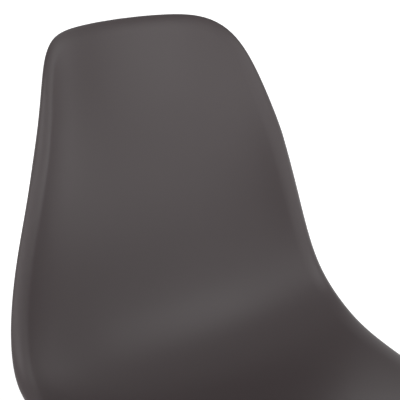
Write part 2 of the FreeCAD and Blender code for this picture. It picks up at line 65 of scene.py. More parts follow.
def linear(code):
    """The linear colour of an sRGB hex code."""
    levels = [int(code[i : i + 2], 16) / 255 for i in (1, 3, 5)]
    return tuple(v / 12.92 if v <= 0.04045 else ((v + 0.055) / 1.055) ** 2.4 for v in levels)


def number(name, description, default, **values):
    return FloatProperty(name=name, description=description, default=default, **values)


def length(name, description, default):
    """One length, or as many as the default has."""
    values = {"name": name, "description": description, "unit": "LENGTH", "precision": 4}
    if isinstance(default, tuple):
        return FloatVectorProperty(default=default, size=len(default), **values)
    return FloatProperty(default=default, **values)


def angle(name, description, degrees):
    return number(name, description, math.radians(degrees), unit="ROTATION")


def colour(name, description, code):
    values = {"name": name, "description": description, "subtype": "COLOR", "min": 0, "max": 1}
    return FloatVectorProperty(default=linear(code), size=3, **values)


class ShellSizes(bpy.types.PropertyGroup):
    """The moulded shell."""

    front_edge_y: length("Front edge", "From the chair's middle to the front edge", 0.215)
    front_edge_height: length("Front edge height", "Height of the front edge", 0.4285)
    seat_fall: angle("Seat fall", "How much the seat falls towards the back", 6.09)
    run: length("Run", "Length of the middle line from the front edge to the top", 0.7877)
    bend_at: length("Bend at", "Middle of the bend between seat and back along the run", 0.3789)
    bend_radius: length("Bend radius", "Radius of the bend between seat and back", 0.1167)
    lumbar: angle("Lumbar slope", "Slope of the lower back", 87.87)
    back: angle("Back slope", "Slope of the upper back", 73.04)
    lean_at: length("Lean at", "Where the back leans away along the run", 0.6871)
    lean_half: length("Lean half", "Half the run over which the back leans away", 0.170)
    half_widths: length(
        "Half widths",
        "Half widths inside the lip from the front edge to the top",
        (0.1887, 0.1971, 0.2169, 0.2112, 0.1902, 0.1572, 0.1245),
    )
    side_rises: length(
        "Side rises",
        "How far the sides stand forward at the same places",
        (0.0131, 0.0261, 0.0567, 0.0577, 0.0498, 0.0466, 0.0350),
    )
    sharpness: number("Sharpness", "How late the sides turn forward", 0.364)
    top_power: number("Top corners", "Squareness of the top corners", 7.1)
    front_power: number("Front corners", "Squareness of the front corners", 4.0)
    top_arch: length("Top arch", "How far the top edge falls towards its corners", 0.0113)
    wall: length("Wall", "Thickness of the moulding", 0.005)
    lip_reaches: length(
        "Lip reaches", "Reach of the lip at the side, top and front", (0.0158, 0.0116, 0.024)
    )
    lip_side: angle("Side lip", "How far the lip turns back at the sides", 77.3)
    lip_top: angle("Top lip", "How far the lip turns back at the top", 50.2)
    lip_front: angle("Front lip", "How far the lip turns down at the front", 72)
    lip_blends: length(
        "Lip blends",
        "Run over which the side lip turns into those at the top and front",
        (0.140, 0.150),
    )
    lip_edge: length("Lip edge", "Radius of the lip's edges", 0.0014)
    lip_ease: length("Lip ease", "How far inside its root the lip starts to turn", 0.006)
    boss_radius: length("Boss radius", "Radius of the bosses under the seat", 0.019)
    insert_radius: length("Insert radius", "Radius of the threaded inserts", 0.0045)
    insert_length: length("Insert length", "Length of the threaded inserts", 0.012)
    rib: length("Rib", "Thickness of the ribs between the bosses", 0.003)
    rib_setback: length("Rib setback", "From the bosses' soles up to the ribs", 0.009)
    spokes: IntProperty(name="Spokes", description="Points round the outline", default=360, min=48)
    rings: IntProperty(name="Rings", description="Rings out to the lip", default=44, min=8)


class BaseSizes(bpy.types.PropertyGroup):
    """The legs and the steel base."""

    mount_x: length("Mount X", "Half the distance across the bosses", 0.088)
    mount_y: length("Mount Y", "Half the distance along the bosses", 0.082)
    mount_height: length("Mount height", "Height of the bosses' soles", 0.3873)
    pad: length("Pad", "Thickness of the rubber pads", 0.005)
    strap: length("Strap", "Thickness of the steel straps", 0.003)
    foot_x: length("Foot X", "Half the distance across the feet", 0.220)
    foot_y: length("Foot Y", "Half the distance along the feet", 0.240)
    leg_top: length("Leg top", "Height of the legs' upper ends", 0.3763)
    leg_run: length("Leg run", "How far out of the mounts the legs' upper ends stand", 0.070)
    leg_flat: length("Leg flat", "From the leg's axis to its flats", 0.0115)
    leg_spot: length("Leg spot", "From the leg's axis to the screws' spot faces", 0.0125)
    upper_bolt: length("Upper bolt", "From the leg's upper end to the upper screw", 0.034)
    lower_bolt: length("Lower bolt", "From the floor up the leg to the lower screw", 0.226)
    lug: length("Lug", "From the lower screw down to the wire ends", 0.016)
    wire: length("Wire", "Radius of the wires", 0.003)
    wire_step: length("Wire step", "From the leg's plane to a wire's end", 0.009)
    wire_drop: length("Wire drop", "From the upper screw down to the wires' upper ends", 0.022)
    screw: length("Screw", "Radius of the M6 screws", 0.003)
    screw_head: length("Screw head", "Radius of the screws' heads", 0.00525)
    screw_head_height: length("Screw head height", "Height of the screws' heads", 0.0033)
    hex_socket: length("Hex socket", "Width across the flats of the sockets", 0.004)
    hex_depth: length("Hex depth", "Depth of the sockets", 0.002)
    leg_screw: length("Leg screw", "Length of the screws through the legs", 0.034)
    seat_screw: length("Seat screw", "Length of the screws into the seat", 0.018)
    nut_width: length("Nut width", "Width of the nuts across their flats", 0.010)
    nut_height: length("Nut height", "Height of the nuts", 0.005)


class Finishes(bpy.types.PropertyGroup):
    """Colours of the chair and its surroundings."""

    shell: colour("Shell", "Warm dark grey polypropylene", "#413a3b")
    beech: colour("Beech", "Clear lacquered beech", "#d6ad83")
    beech_dark: colour("Beech figure", "Darker late wood of the beech", "#bd8f63")
    coat: colour("Powder coat", "Black powder coat on the steel", "#1c1c1d")
    oxide: colour("Oxide", "Black oxide on the screws and nuts", "#37373a")
    rubber: colour("Rubber", "Black moulded rubber", "#1d1d1d")
    nylon: colour("Nylon", "Black moulded nylon", "#232323")
    brass: colour("Brass", "Turned brass", "#c9a65c")
    floor: colour("Floor", "Pale studio floor", "#e6e6e6")


class ChairSettings(bpy.types.PropertyGroup):
    """All sizes and colours of the chair."""

    shell: PointerProperty(type=ShellSizes)
    base: PointerProperty(type=BaseSizes)
    finishes: PointerProperty(type=Finishes)


def settings():
    return bpy.context.scene.shell_chair


# Materials.


def add(tree, kind, inputs=None, **values):
    """Add a shader node with its settings, and its inputs by name or number.

    An input is a value, a node's output, or a node, which gives its first live output.
    """
    node = tree.nodes.new("ShaderNode" + kind)
    for name, value in values.items():
        setattr(node, name, value)
    for key, value in (inputs or {}).items():
        named = [socket for socket in node.inputs if socket.enabled and socket.name == key]
        socket = named[0] if named else node.inputs[key]
        if isinstance(value, bpy.types.Node):
            value = next(output for output in value.outputs if output.enabled)
        if isinstance(value, bpy.types.NodeSocket):
            tree.links.new(value, socket)
        else:
            socket.default_value = value
    return node


def new_material(name):
    """A material, its empty node tree and Object coordinates for its patterns."""
    material = bpy.data.materials.new(name)
    material.use_nodes = True
    tree = material.node_tree
    tree.nodes.clear()
    return material, tree, add(tree, "TexCoord").outputs["Object"]


def per(millimetres):
    """The scale of a pattern whose marks are this many millimetres wide."""
    return 1 / (millimetres * MM)


def shade(base, factor=1.0):
    """A darker or lighter shade of a colour, opaque."""
    return (*(min(1.0, value * factor) for value in base), 1.0)


def moulded_polypropylene():
    """Polypropylene from a spark-eroded mould: one dark colour, satin gloss, even fine grain."""
    material, tree, place = new_material("moulded_polypropylene")
    base = settings().finishes.shell
    # The mould's grain is about 0.3 mm; it is drawn at 1.1 mm, which the render can just show.
    grain = add(tree, "TexNoise", {"Vector": place, "Scale": per(1.1), "Roughness": 0.6})
    # Cooling leaves the colour a little uneven over about 70 mm.
    drift = add(tree, "TexNoise", {"Vector": place, "Scale": per(70), "Detail": 1.0})
    shades = {"Factor": drift, "A": shade(base, 0.95), "B": shade(base, 1.05)}
    tint = add(tree, "Mix", shades, data_type="RGBA")
    peaks = add(tree, "MapRange", {"Value": grain, "From Min": 0.3, "From Max": 0.7})
    shades = {"Factor": peaks, "A": tint, "B": shade(base, 1.03)}
    tint = add(tree, "Mix", shades, data_type="RGBA")
    gloss = add(tree, "MapRange", {"Value": grain, "To Min": 0.40, "To Max": 0.48})
    bump = add(tree, "Bump", {"Height": grain, "Strength": 0.25, "Distance": 0.05 * MM})
    surface = {"Base Color": tint, "Roughness": gloss, "Normal": bump, "IOR": 1.44}
    add(tree, "OutputMaterial", {"Surface": add(tree, "BsdfPrincipled", surface)})
    return material


def lacquered_beech(name, leg):
    """Steamed beech, turned and clear lacquered: pale straight grain, brown flecks, soft gloss."""
    material, tree, place = new_material("lacquered_beech_" + name)
    finishes = settings().finishes
    # The wood's grain runs along the leg's own axis.
    turned = {"Vector": place, "Location": leg.translation, "Rotation": leg.to_euler()}
    place = add(tree, "Mapping", turned, vector_type="TEXTURE")
    # Growth rings about 6 mm apart, whose centre lies 45 mm beside the leg.
    long = add(tree, "Mapping", {"Vector": place, "Scale": (1, 1, 0.12)})
    wander = add(tree, "TexNoise", {"Vector": long, "Scale": per(25)})
    push = add(tree, "VectorMath", {0: wander, "Scale": 6 * MM}, operation="SCALE")
    beside = {"Vector": place, "Location": (45 * MM, 12 * MM, 0), "Scale": (1, 1, 0.02)}
    beside = add(tree, "Mapping", beside)
    bowed = add(tree, "VectorMath", {0: beside, 1: push}, operation="ADD")
    # The rings of a wave texture of scale 1 are a twentieth of a full turn apart.
    spacing = math.tau / 20 * per(5.922)
    rings = add(
        tree,
        "TexWave",
        {"Vector": bowed, "Scale": spacing, "Distortion": 0.6, "Detail": 2.0},
        wave_type="RINGS",
        rings_direction="Z",
        wave_profile="SAW",
    ).outputs["Fac"]
    # Pores are lines of 0.4 by 12 mm; ray flecks are spindles of 0.7 by 4 mm.
    lines = add(tree, "Mapping", {"Vector": place, "Scale": (1, 1, 0.033)})
    pores = add(tree, "TexNoise", {"Vector": lines, "Scale": per(0.4), "Detail": 3.0})
    spindles = add(tree, "Mapping", {"Vector": place, "Scale": (1, 1, 0.17)})
    flecks = add(tree, "TexNoise", {"Vector": spindles, "Scale": per(0.7), "Detail": 1.0})
    # Each figure, where it sets in and is full, how much it covers and its share of the dark wood.
    tint = shade(finishes.beech)
    for figure, start, end, most, dark in (
        (rings, 0.0, 1.0, 0.75, 1.0),
        (pores, 0.35, 0.8, 0.35, 0.75),
        (flecks, 0.64, 0.72, 0.5, 0.55),
    ):
        amount = {"Value": figure, "From Min": start, "From Max": end, "To Max": most}
        amount = add(tree, "MapRange", amount)
        shades = {"Factor": amount, "A": tint, "B": shade(finishes.beech_dark, dark)}
        tint = add(tree, "Mix", shades, data_type="RGBA")
    gloss = add(tree, "MapRange", {"Value": pores, "To Min": 0.38, "To Max": 0.5})
    bump = add(tree, "Bump", {"Height": pores, "Strength": 0.15, "Distance": 0.05 * MM})
    surface = {"Base Color": tint, "Roughness": gloss, "Normal": bump, "IOR": 1.5}
    surface.update({"Coat Weight": 0.35, "Coat Roughness": 0.22})
    add(tree, "OutputMaterial", {"Surface": add(tree, "BsdfPrincipled", surface)})
    return material


def mottled(name, base, marks, shades, gloss, relief=None, **constants):
    """A material of one colour whose shade and gloss vary with marks, a noise texture's inputs.

    The relief is its strength, its depth in millimetres and its own marks.
    """
    material, tree, place = new_material(name)
    noise = add(tree, "TexNoise", {"Vector": place, **marks})
    tint = {"Factor": noise, "A": shade(base, shades[0]), "B": shade(base, shades[1])}
    gloss = {"Value": noise, "To Min": gloss[0], "To Max": gloss[1]}
    tint = add(tree, "Mix", tint, data_type="RGBA")
    surface = {"Base Color": tint, "Roughness": add(tree, "MapRange", gloss), **constants}
    if relief:
        strength, depth, marks = relief
        height = add(tree, "TexNoise", {"Vector": place, **marks})
        bump = {"Height": height, "Strength": strength, "Distance": depth * MM}
        surface["Normal"] = add(tree, "Bump", bump)
    add(tree, "OutputMaterial", {"Surface": add(tree, "BsdfPrincipled", surface)})
    return material


def black_powder_coat():
    """Baked polyester powder on steel: black, satin and slightly pebbled."""
    base = settings().finishes.coat
    pebbles = {"Scale": per(0.8), "Detail": 1.0}
    relief = (0.3, 0.06, pebbles)
    return mottled("black_powder_coat", base, pebbles, (0.9, 1.2), (0.34, 0.44), relief, IOR=1.5)


def black_oxide_steel():
    """Machined steel with a thin black oxide: dark metal with a dull sheen."""
    base = settings().finishes.oxide
    wear = {"Scale": per(1.5), "Detail": 3.0}
    return mottled("black_oxide_steel", base, wear, (0.8, 1.5), (0.32, 0.5), Metallic=0.9)


def moulded_rubber():
    """Black rubber out of a plain mould: matt, with a faint bloom."""
    base = settings().finishes.rubber
    bloom = {"Scale": per(6), "Detail": 3.0}
    relief = (0.2, 0.05, {"Scale": per(0.4)})
    return mottled("moulded_rubber", base, bloom, (1.0, 1.7), (0.7, 0.85), relief, IOR=1.52)


def moulded_nylon():
    """Black nylon: a hard semi-matt surface, scuffed a little by the floor."""
    base = settings().finishes.nylon
    scuffs = {"Scale": per(2), "Detail": 4.0, "Roughness": 0.7}
    return mottled("moulded_nylon", base, scuffs, (1.0, 1.6), (0.42, 0.6), IOR=1.53)


def turned_brass():
    """Brass from bar stock, with fine turning lines."""
    base = settings().finishes.brass
    lines = {"Scale": per(0.5), "Detail": 1.0}
    return mottled("turned_brass", base, lines, (0.85, 1.0), (0.25, 0.4), Metallic=1.0)


def painted_floor():
    """A matt pale studio floor that camera and reflections see as white beyond the shadow."""
    material, tree, place = new_material("painted_floor")
    base = settings().finishes.floor
    mottle = add(tree, "TexNoise", {"Vector": place, "Scale": per(400)})
    shades = {"Factor": mottle, "A": shade(base, 0.99), "B": shade(base)}
    matt = add(tree, "BsdfDiffuse", {"Color": add(tree, "Mix", shades, data_type="RGBA")})
    path = add(tree, "LightPath").outputs
    seen = {0: path["Is Camera Ray"], 1: path["Is Glossy Ray"]}
    seen = {0: add(tree, "Math", seen, operation="MAXIMUM"), 1: path["Is Transmission Ray"]}
    seen = add(tree, "Math", seen, operation="MAXIMUM")
    # The glow rises from the chair's shadow out to 2.2 m.
    away = add(tree, "VectorMath", {0: place}, operation="LENGTH")
    rise = {"Value": away, "From Min": 0.5, "From Max": 2.2, "To Min": 0.3, "To Max": 0.8}
    rise = add(tree, "MapRange", rise, interpolation_type="SMOOTHSTEP")
    glow = add(tree, "Math", {0: seen, 1: rise}, operation="MULTIPLY")
    glow = add(tree, "Emission", {"Strength": glow})
    add(tree, "OutputMaterial", {"Surface": add(tree, "AddShader", {0: matt, 1: glow})})
    return material


# Mesh helpers.

# Facets that meet at less than this are one smooth face of a copied CAD node.
CREASE = math.radians(32)
# Facets that meet at less than this are merged before its edges are broken.
FLAT = math.radians(3)


def verts_of(geometry):
    return [item for item in geometry if isinstance(item, bmesh.types.BMVert)]


def extrude_rings(rows, pole=None, end_pole=None):
    """A skin through rows of equally many points: a circle moved onto the first, then extruded.

    A pole closes the first row, an end pole the last, and without them the last joins the first.
    """
    bm = bmesh.new()
    capped = pole is not None
    bmesh.ops.create_circle(bm, cap_ends=capped, cap_tris=capped, segments=len(rows[0]), radius=1)
    spoke = bm.verts.layers.int.new("spoke")
    rim = [vert for vert in bm.verts if vert.co.length > 0.5]
    rim.sort(key=lambda vert: math.atan2(vert.co.x, vert.co.y) % math.tau)
    for vert in bm.verts:
        if vert.co.length < 0.5:
            vert.co = pole
    for k, vert in enumerate(rim):
        vert[spoke] = k
        vert.co = rows[0][k]
    first = edges = [edge for edge in bm.edges if not capped or edge.is_boundary]
    for row in rows[1:]:
        made = bmesh.ops.extrude_edge_only(bm, edges=edges)["geom"]
        for vert in verts_of(made):
            vert.co = row[vert[spoke]]
        edges = [e for e in made if isinstance(e, bmesh.types.BMEdge) and e.is_boundary]
    if end_pole is not None:
        made = bmesh.ops.extrude_edge_only(bm, edges=edges)["geom"]
        bmesh.ops.pointmerge(bm, verts=verts_of(made), merge_co=end_pole)
    elif pole is None:
        bmesh.ops.bridge_loops(bm, edges=edges + first)
    bm.verts.layers.int.remove(bm.verts.layers.int["spoke"])
    bmesh.ops.recalc_face_normals(bm, faces=bm.faces)
    return bm


def join(target, bm, matrix=Matrix()):
    """Move a bmesh into place and add it to another."""
    bmesh.ops.transform(bm, matrix=matrix, verts=bm.verts)
    part = bpy.data.meshes.new("part")
    bm.to_mesh(part)
    bm.free()
    target.from_mesh(part)
    bpy.data.meshes.remove(part)


def finish_piece(name, bm, material, crease, replaced=()):
    """Turn a bmesh into a piece that rides on the chair, smooth but for its sharp edges."""
    for face in bm.faces:
        face.smooth = True
    for edge in bm.edges:
        edge.smooth = edge.calc_face_angle(math.pi) < crease
    mesh = bpy.data.meshes.new(name)
    bm.to_mesh(mesh)
    bm.free()
    mesh.materials.append(material)
    piece = bpy.data.objects.new(name, mesh)
    bpy.context.scene.collection.objects.link(piece)
    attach(piece, "root")
    if replaced:
        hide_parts(*replaced)
    return piece


def rounded_copy(name, nodes, material, width):
    """The merged shapes of CAD nodes with their sharp edges broken by a small bevel."""
    bm = bmesh.new()
    for node in nodes:
        bm.from_mesh(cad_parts[node].data)
    bmesh.ops.remove_doubles(bm, verts=bm.verts, dist=0.002 * MM)
    bmesh.ops.dissolve_degenerate(bm, edges=bm.edges, dist=0.001 * MM)
    # Slivers on one facet become one face, so that the bevel has room beside every edge.
    bmesh.ops.dissolve_limit(bm, angle_limit=FLAT, verts=bm.verts, edges=bm.edges)
    piece = finish_piece(name, bm, material, CREASE, nodes)
    bevel = piece.modifiers.new("edge_break", "BEVEL")
    bevel.width = width
    bevel.segments = 2
    bevel.limit_method = "ANGLE"
    bevel.angle_limit = CREASE
    bevel.use_clamp_overlap = False
    bevel.harden_normals = True


def around(share, radius):
    """A point of a circle about the origin, by its share of a full turn."""
    turn = share * math.tau
    return Vector((math.sin(turn), math.cos(turn), 0)) * radius


# Frames of the base: each leg stands in an upright plane through its mount and its foot.


def mount_to_foot():
    base = settings().base
    return Vector((base.foot_x - base.mount_x, base.foot_y - base.mount_y))


def leg_lean():
    base = settings().base
    return math.atan2(mount_to_foot().length - base.leg_run, base.leg_top)


def mount_frame(side):
    """Origin on the floor under a mount, X outwards in the leg's plane."""
    base = settings().base
    x, y = SIDES[side]
    step = mount_to_foot()
    turn = Matrix.Rotation(math.atan2(y * step.y, x * step.x), 4, "Z")
    return Matrix.Translation((x * base.mount_x, y * base.mount_y, 0)) @ turn


def leg_frame(side):
    """Origin where a leg's axis meets the floor, Z up the leg, X square to it and outwards."""
    lean = Matrix.Rotation(-leg_lean(), 4, "Y")
    return mount_frame(side) @ Matrix.Translation((mount_to_foot().length, 0, 0)) @ lean


def upper_bolt_at():
    """How far up a leg's axis the upper screw is."""
    base = settings().base
    return base.leg_top / math.cos(leg_lean()) - base.upper_bolt


# The shell.


def swing(run, centre, half):
    """Rises smoothly from 0 to 1 over twice the half length round the centre."""
    part = max(-1.0, min(1.0, (run - centre) / half))
    return 0.5 * (1 + part + math.sin(math.pi * part) / math.pi)


def ease(part):
    """Rises smoothly from 0 to 1 as its part of the way does."""
    part = max(0.0, min(1.0, part))
    return part * part * (3 - 2 * part)


def smooth_curve(places, heights):
    """The natural cubic curve through the given heights, straight beyond its ends."""
    count = len(places)
    gaps = [b - a for a, b in zip(places, places[1:])]
    slopes = [(b - a) / gap for a, b, gap in zip(heights, heights[1:], gaps)]
    diagonal = [1.0] * count
    bends = [0.0] * count
    for i in range(1, count - 1):
        factor = gaps[i - 1] / diagonal[i - 1] if i > 1 else 0.0
        diagonal[i] = 2 * (gaps[i - 1] + gaps[i]) - factor * gaps[i - 1]
        bends[i] = 6 * (slopes[i] - slopes[i - 1]) - factor * bends[i - 1]
    for i in range(count - 2, 0, -1):
        bends[i] = (bends[i] - gaps[i] * bends[i + 1]) / diagonal[i]

    def height_at(place):
        inside = max(places[0], min(places[-1], place))
        i = 0
        while i < count - 2 and inside > places[i + 1]:
            i += 1
        gap, start, end = gaps[i], bends[i], bends[i + 1]
        low = (places[i + 1] - inside) / gap
        high = (inside - places[i]) / gap
        curved = ((low**3 - low) * start + (high**3 - high) * end) * gap**2 / 6
        turned = ((1 - 3 * low**2) * start + (3 * high**2 - 1) * end) * gap / 6
        straight = low * heights[i] + high * heights[i + 1]
        return straight + curved + (slopes[i] + turned) * (place - inside)

    return height_at


def bezier(a, b, c, d, steps):
    """Points of a curve from a to d, drawn towards b and c."""
    points = []
    for i in range(steps + 1):
        t = i / steps
        u = 1 - t
        points.append(a * u**3 + b * 3 * t * u**2 + c * 3 * t * t * u + d * t**3)
    return points


def evenly(points, parts):
    """Places at even distances along a line through many points."""
    gone = [0.0]
    for a, b in zip(points, points[1:]):
        gone.append(gone[-1] + math.hypot(b[0] - a[0], b[1] - a[1]))
    places = []
    i = 0
    for k in range(parts + 1):
        goal = gone[-1] * k / parts
        while i < len(points) - 2 and gone[i + 1] < goal:
            i += 1
        part = (goal - gone[i]) / (gone[i + 1] - gone[i])
        places.append([a + (b - a) * part for a, b in zip(points[i], points[i + 1])])
    return places


class ShellForm:
    """The face that the sitter touches, by x and by the run along its middle line."""

    # Stations of the half widths and side rises, as shares of the run.
    stations = (0.0, 0.2, 0.42, 0.56, 0.7, 0.84, 1.0)
    # The middle line is worked out in these steps, and this far beyond its ends.
    step = 0.001
    spare = 0.04
    # The middle of the rings, by its run.
    hub = 0.2
    # The seat's share of the run, and the halvings that find a place of it.
    seat_share = 0.45
    halvings = 30
    # The corners' lengths along the run, as shares of the half width near them.
    top_corner = 0.98
    front_corner = 0.9
    # Points along each corner and side before they are spaced evenly.
    outline_steps = 400
    # Half the distance between the points that give the face its normal.
    reach = 0.0005
    # Points along each curve of the lip and each quarter round of its edge.
    lip_steps = 12
    edge_steps = 4
    # How far a curve of the lip keeps its direction, as a share of its length.
    guide = 0.6

    def __init__(self, sizes):
        self.sizes = sizes
        places = [share * sizes.run for share in self.stations]
        self.half_width = smooth_curve(places, list(sizes.half_widths))
        self.side_rise = smooth_curve(places, list(sizes.side_rises))
        point = Vector((0, -sizes.front_edge_y, sizes.front_edge_height))
        point -= self.direction(0) * self.spare
        self.line = []
        for i in range(int((sizes.run + 2 * self.spare) / self.step) + 2):
            self.line.append(point)
            point = point + self.direction((i + 0.5) * self.step - self.spare) * self.step

    def slope(self, run):
        """The angle of the middle line above the level."""
        sizes = self.sizes
        turned = sizes.lumbar + sizes.seat_fall
        bend = swing(run, sizes.bend_at, sizes.bend_radius * turned)
        lean = swing(run, sizes.lean_at, sizes.lean_half)
        return turned * bend + (sizes.back - sizes.lumbar) * lean - sizes.seat_fall

    def direction(self, run):
        turn = self.slope(run)
        return Vector((0, math.cos(turn), math.sin(turn)))

    def point(self, x, run):
        share = abs(x) / self.half_width(run)
        sharp = self.sizes.sharpness
        rise = self.side_rise(run) * ((1 - sharp) * share**2 + sharp * share**4)
        place = (run + self.spare) / self.step
        i = max(0, min(len(self.line) - 2, int(place)))
        middle = self.line[i].lerp(self.line[i + 1], place - i)
        forward = Vector((1, 0, 0)).cross(self.direction(run))
        return Vector((x, 0, 0)) + middle + forward * rise

    def normal(self, x, run):
        reach = self.reach
        across = self.point(x + reach, run) - self.point(x - reach, run)
        along = self.point(x, run + reach) - self.point(x, run - reach)
        return across.cross(along).normalized()

    def wall_height(self, x, y):
        """Height of the middle of the seat's wall over a place of the floor."""
        low, high = 0.0, self.seat_share * self.sizes.run
        for _ in range(self.halvings):
            run = 0.5 * (low + high)
            if self.point(x, run).y < y:
                low = run
            else:
                high = run
        return (self.point(x, run) - self.normal(x, run) * 0.5 * self.sizes.wall).z

    def right_side(self):
        """Many points of the outline inside the lip, as (x, run), from the top down the right."""
        sizes = self.sizes
        steps = self.outline_steps
        corner = sizes.run - self.top_corner * sizes.half_widths[5]
        front = self.front_corner * sizes.half_widths[0]
        points = []
        power = 2 / sizes.top_power
        for i in range(steps + 1):
            turn = 0.5 * math.pi * (1 - i / steps)
            run = corner + (sizes.run - corner) * max(0.0, math.sin(turn)) ** power
            x = self.half_width(run) * max(0.0, math.cos(turn)) ** power
            share = (x / sizes.half_widths[6]) ** 2 * (run - corner) / (sizes.run - corner)
            points.append((x, run - sizes.top_arch * share))
        for i in range(1, steps + 1):
            run = corner + (front - corner) * i / steps
            points.append((self.half_width(run), run))
        power = 2 / sizes.front_power
        for i in range(1, steps + 1):
            turn = 0.5 * math.pi * i / steps
            run = front - front * max(0.0, math.sin(turn)) ** power
            points.append((self.half_width(run) * max(0.0, math.cos(turn)) ** power, run))
        return points

    def outline(self):
        """Evenly spaced points all round the outline, from the middle of the top."""
        right = evenly(self.right_side(), self.sizes.spokes // 2)
        return right + [[-x, run] for x, run in right[-2:0:-1]]

    def lip_reach_and_turn(self, run):
        """The lip's reach and turn, blended from those of the side, top and front."""
        sizes = self.sizes
        top = ease(1 - (sizes.run - run) / sizes.lip_blends[0])
        front = ease(1 - run / sizes.lip_blends[1])
        shares = Vector((1 - top - front, top, front))
        turns = Vector((sizes.lip_side, sizes.lip_top, sizes.lip_front))
        return shares.dot(sizes.lip_reaches), shares.dot(turns)

    def lip(self, before, at, after, start):
        """The lip's section at a place of the outline, from the face round its edge to the back."""
        wall, edge = self.sizes.wall, self.sizes.lip_edge
        reach, turn = self.lip_reach_and_turn(at[1])
        point, normal = self.point(*at), self.normal(*at)
        along = self.point(*after) - self.point(*before)
        along = (along - normal * along.dot(normal)).normalized()
        out = normal.cross(along)
        onwards = out * math.cos(turn) - normal * math.sin(turn)
        through = out * -math.sin(turn) - normal * math.cos(turn)
        bow = reach / (1 + math.cos(turn))
        inner_bow = bow - wall * math.tan(0.5 * turn)
        tip = point + out * bow + onwards * bow
        heel = tip + through * wall
        root, facing = self.point(*start), self.normal(*start)
        back = root - facing * wall
        outwards = point - root
        eased = outwards.length
        outwards = (outwards - facing * outwards.dot(facing)).normalized()
        section = bezier(
            root,
            root + outwards * (eased + bow) * self.guide,
            tip - onwards * bow * self.guide,
            tip - onwards * edge,
            self.lip_steps,
        )
        section.pop()
        for centre, first in ((edge, 0), (wall - edge, 90)):
            middle = tip + through * centre - onwards * edge
            for i in range(self.edge_steps + 1):
                swept = math.radians(first + 90 * i / self.edge_steps)
                round_edge = onwards * math.sin(swept) - through * math.cos(swept)
                section.append(middle + round_edge * edge)
        return section + bezier(
            heel - onwards * edge,
            heel - onwards * inner_bow * self.guide,
            back + outwards * (eased + inner_bow) * self.guide,
            back,
            self.lip_steps,
        )[1:]


def shell_mesh(form):
    """The shell: rings out over the sitter's face, round the lip and back over the rear face."""
    sizes = form.sizes
    hub = form.hub
    outline = form.outline()
    count = len(outline)
    starts = []
    for x, run in outline:
        inside = 1 - sizes.lip_ease / math.hypot(x, run - hub)
        starts.append((x * inside, hub + (run - hub) * inside))
    face, rear = [], []
    for i in range(1, sizes.rings):
        share = i / sizes.rings
        row, back = [], []
        for x, run in starts:
            at = (x * share, hub + (run - hub) * share)
            point = form.point(*at)
            row.append(point)
            back.append(point - form.normal(*at) * sizes.wall)
        face.append(row)
        rear.append(back)
    lips = [
        form.lip(outline[k - 1], outline[k], outline[(k + 1) % count], starts[k])
        for k in range(count)
    ]
    rows = face + [list(row) for row in zip(*lips)] + rear[::-1]
    pole = form.point(0, hub)
    return extrude_rings(rows, pole, pole - form.normal(0, hub) * sizes.wall)


# Points round a boss.
BOSS_POINTS = 64
# Rings of the fillet between a boss and the seat: how far out, and how far below the seat.
BOSS_FILLET = ((0.0, 4.5), (0.4, 3.2), (1.4, 2.0), (3.4, 1.0), (5.0, 0.0))


def boss_mesh(form, x, y, sole):
    """A boss under the seat with a bored, broken edge and a fillet where it meets the seat."""
    sizes = form.sizes
    outer, bore = sizes.boss_radius, sizes.insert_radius
    shares = [k / BOSS_POINTS for k in range(BOSS_POINTS)]
    # The bore's broken edge, the sole's rounded one, and how deep the fillet ends in the wall.
    broken, rounded, sunk = 0.6 * MM, 1 * MM, 0.6 * MM
    rows = []
    for radius, height in (
        (bore, sizes.insert_length),
        (bore, broken),
        (bore + broken, 0.0),
        (outer - rounded, 0.0),
        (outer - 0.3 * rounded, 0.3 * rounded),
        (outer, rounded),
    ):
        rows.append([Vector((x, y, sole + height)) + around(share, radius) for share in shares])
    for flare, drop in BOSS_FILLET:
        row = []
        for share in shares:
            place = Vector((x, y, 0)) + around(share, outer + flare * MM)
            underside = form.wall_height(place.x, place.y) - 0.5 * sizes.wall
            row.append(Vector((place.x, place.y, underside + sunk - drop * MM)))
        rows.append(row)
    inside = Vector((x, y, form.wall_height(x, y)))
    return extrude_rings(rows, Vector((x, y, sole + sizes.insert_length)), inside)


def rib_mesh(form, start, end, lowest):
    """A rib between two bosses: a strip extruded up to the seat, its lower edges broken."""
    bm = bmesh.new()
    bmesh.ops.create_grid(bm, x_segments=30, y_segments=1, size=0.5)
    along = end - start
    aside = Vector((-along.y, along.x, 0)).normalized() * form.sizes.rib
    lower = list(bm.verts)
    for vert in lower:
        vert.co = start + along * (vert.co.x + 0.5) + aside * vert.co.y
        vert.co.z = lowest
    made = bmesh.ops.extrude_face_region(bm, geom=list(bm.faces))["geom"]
    for vert in verts_of(made):
        vert.co.z = form.wall_height(vert.co.x, vert.co.y)
    sole = [edge for edge in bm.edges if all(vert in lower for vert in edge.verts)]
    rims = [edge for edge in sole if edge.calc_face_angle(0) > 1]
    shape = {"offset": 0.8 * MM, "segments": 2, "profile": 0.5, "clamp_overlap": True}
    bmesh.ops.bevel(bm, geom=rims, affect="EDGES", material=-1, **shape)
    bmesh.ops.recalc_face_normals(bm, faces=bm.faces)
    return bm


